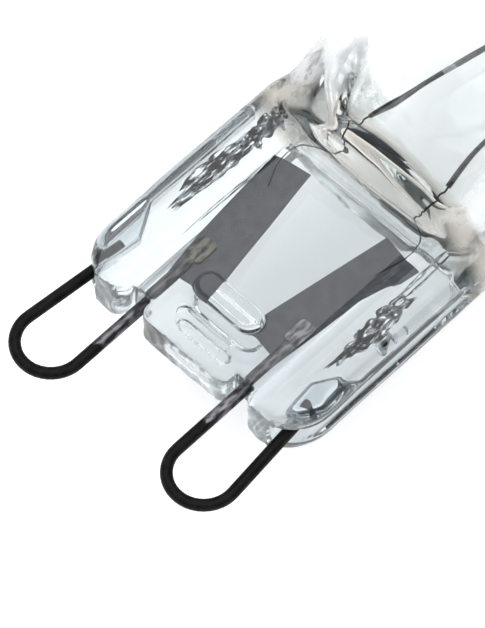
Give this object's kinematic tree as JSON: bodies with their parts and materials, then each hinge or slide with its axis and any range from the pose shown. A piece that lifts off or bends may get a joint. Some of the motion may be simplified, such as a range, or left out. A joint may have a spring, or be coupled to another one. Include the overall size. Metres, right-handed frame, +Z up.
{
  "type": "halogen capsule bulb",
  "caption": "Clear quartz halogen capsule bulb with a flat pressed seal, wire contact loops, sealing foils and a coiled filament on a hooked support.",
  "frame": {"origin": "at the base_contacts mount, on the lamp axis, level with the outer ends of both contact loops", "axes": "+X along the lamp axis towards the dome, +Z up and square to the flat faces of the seal, +Y towards the left contact loop"},
  "size_m": [0.043, 0.0136, 0.0136],
  "materials": {
    "quartz": "clear fused quartz with a molten surface",
    "contact_wire": "black oxidised wire, bare grey metal at the seal",
    "foil": "dull dark grey molybdenum foil",
    "tungsten": "dark grey drawn tungsten",
    "support_wire": "grey drawn molybdenum"
  },
  "bodies": {
    "root": {"quartz_envelope": "quartz", "contact_loop_left": "contact_wire", "contact_loop_right": "contact_wire", "foil_left": "foil", "foil_right": "foil", "filament": "tungsten", "filament_support": "support_wire"}
  },
  "joints": []
}
